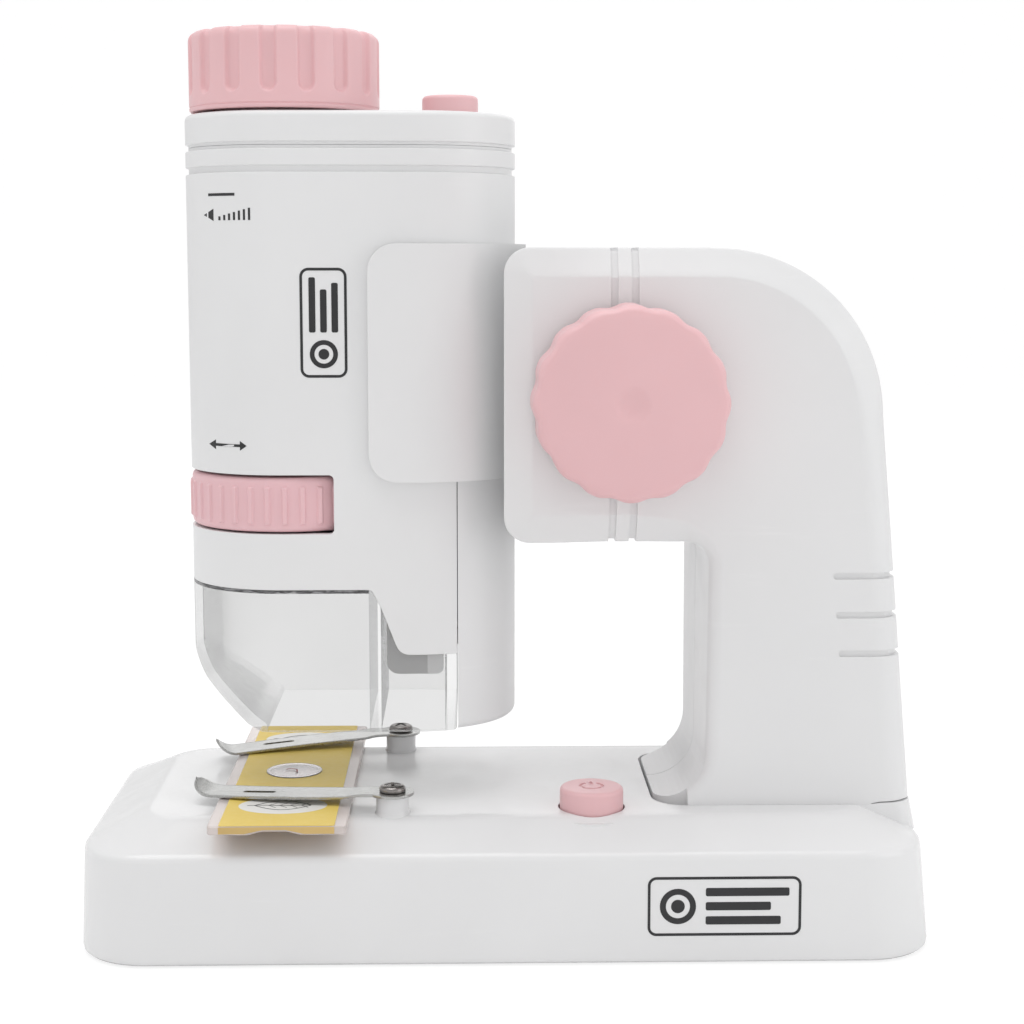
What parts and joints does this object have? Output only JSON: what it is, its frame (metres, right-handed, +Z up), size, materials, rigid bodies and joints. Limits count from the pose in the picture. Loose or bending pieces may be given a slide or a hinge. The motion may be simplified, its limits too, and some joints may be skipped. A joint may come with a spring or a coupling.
{
  "type": "toy microscope",
  "caption": "Toy microscope: a hand-held zoom microscope in a rack-and-pinion holder on a C-shaped arm, over a lit stage base with spring clips and a specimen slide.",
  "frame": {"origin": "centre of the base footprint on the table plane, under the feet", "axes": "+Z up, +X from the stage end towards the arm, -Y is the front side that faces the viewer"},
  "size_m": [0.1584, 0.075, 0.1695],
  "materials": {
    "white_plastic": "satin moulded",
    "pink_plastic": "satin moulded",
    "inner_plastic": "matte moulded",
    "rubber_foot": "matte",
    "screw_steel": "zinc plated",
    "dark_screw": "dark plated",
    "clip_steel": "rolled",
    "shaft_steel": "turned",
    "contact_metal": "nickel plated",
    "circuit_board": "solder mask",
    "led_epoxy": "clear epoxy",
    "battery_wrap": "printed film, plain",
    "wire_jacket": "extruded",
    "window_plastic": "frosted",
    "clear_plastic": "clear moulded acrylic",
    "label_paper": "coated paper",
    "black_plastic": "matte moulded",
    "lens_glass": "polished"
  },
  "bodies": {
    "stand": {"base_shell": "white_plastic", "base_plate": "white_plastic", "rubber_feet": "rubber_foot", "base_screws": "screw_steel", "stage_window": "window_plastic", "base_led": "led_epoxy", "base_led_board": "circuit_board", "power_switch": "circuit_board", "base_batteries": "battery_wrap", "base_contacts": "contact_metal", "base_wires": "wire_jacket", "battery_door": "white_plastic", "battery_door_screw": "screw_steel", "clip_screws": "dark_screw", "arm_front": "white_plastic", "arm_rear": "white_plastic", "arm_screws": "screw_steel", "arm_foot_screws": "screw_steel"},
    "power_button": {"power_button": "pink_plastic"},
    "clip_front": {"clip_front": "clip_steel"},
    "clip_rear": {"clip_rear": "clip_steel"},
    "focus_drive": {"focus_shaft": "shaft_steel", "focus_pinion": "inner_plastic", "focus_knob_front": "pink_plastic", "focus_knob_rear": "pink_plastic", "friction_washers": "rubber_foot"},
    "carriage": {"holder_clip": "white_plastic", "focus_rack": "inner_plastic", "rack_screws": "screw_steel"},
    "microscope": {"body_shell": "white_plastic", "top_cap": "white_plastic", "inner_frame": "inner_plastic", "battery_cover": "white_plastic", "cover_screw": "screw_steel", "body_batteries": "battery_wrap", "body_contacts": "contact_metal", "nosepiece": "clear_plastic", "body_led": "led_epoxy", "body_led_board": "circuit_board", "light_switch": "circuit_board"},
    "light_button": {"light_button": "pink_plastic"},
    "zoom_knob": {"zoom_knob": "pink_plastic", "eyepiece_lens": "lens_glass", "eyepiece_lens_ring": "black_plastic"},
    "zoom_tube": {"zoom_tube": "black_plastic", "zoom_lens": "lens_glass"},
    "focus_ring": {"focus_ring": "pink_plastic"},
    "objective": {"objective_barrel": "inner_plastic", "objective_lens": "lens_glass"},
    "specimen_slide": {"slide_strip": "clear_plastic", "slide_label": "label_paper", "specimen_cover": "clear_plastic"}
  },
  "joints": [
    {"name": "focus_travel", "type": "slide", "parent": "stand", "child": "carriage", "axis": [0, 0, 1], "range_m": [-0.0072, 0.012]},
    {"name": "focus_knob_turn", "type": "hinge", "parent": "stand", "child": "focus_drive", "pos_m": [0.0218, 0, 0.1022], "axis": [0, 1, 0], "range_deg": [-59.5, 99]},
    {"name": "microscope_release", "type": "slide", "parent": "carriage", "child": "microscope", "axis": [-1, 0, 0], "range_m": [0, 0.022]},
    {"name": "zoom_turn", "type": "hinge", "parent": "microscope", "child": "zoom_knob", "pos_m": [-0.0416, 0, 0.16], "axis": [0, 0, 1], "range_deg": [-150, 150]},
    {"name": "zoom_tube_travel", "type": "slide", "parent": "microscope", "child": "zoom_tube", "axis": [0, 0, 1], "range_m": [-0.0041, 0.0041]},
    {"name": "ring_turn", "type": "hinge", "parent": "microscope", "child": "focus_ring", "pos_m": [-0.0416, 0, 0.082], "axis": [0, 0, 1], "range_deg": [-120, 120]},
    {"name": "objective_travel", "type": "slide", "parent": "microscope", "child": "objective", "axis": [0, 0, 1], "range_m": [-0.0031, 0.0031]},
    {"name": "light_button_press", "type": "slide", "parent": "microscope", "child": "light_button", "axis": [0, 0, -1], "range_m": [0, 0.0015], "stiffness_N_per_m": 400},
    {"name": "power_button_press", "type": "slide", "parent": "stand", "child": "power_button", "axis": [0, 0, -1], "range_m": [0, 0.0015], "stiffness_N_per_m": 400},
    {"name": "clip_front_swivel", "type": "hinge", "parent": "stand", "child": "clip_front", "pos_m": [-0.0213, -0.0234, 0.029], "axis": [0, 0, 1], "range_deg": [-10, 60]},
    {"name": "clip_rear_swivel", "type": "hinge", "parent": "stand", "child": "clip_rear", "pos_m": [-0.0213, 0.0234, 0.029], "axis": [0, 0, -1], "range_deg": [-10, 60]},
    {"name": "slide_shift", "type": "slide", "parent": "stand", "child": "specimen_slide", "axis": [0, -1, 0], "range_m": [-0.008, 0.012]}
  ],
  "couplings": [
    {"joint": "focus_knob_turn", "follows": "focus_travel", "rad_per_m": 142.86},
    {"joint": "zoom_tube_travel", "follows": "zoom_turn", "m_per_rad": 0.0015279},
    {"joint": "objective_travel", "follows": "ring_turn", "m_per_rad": 0.0014324}
  ]
}
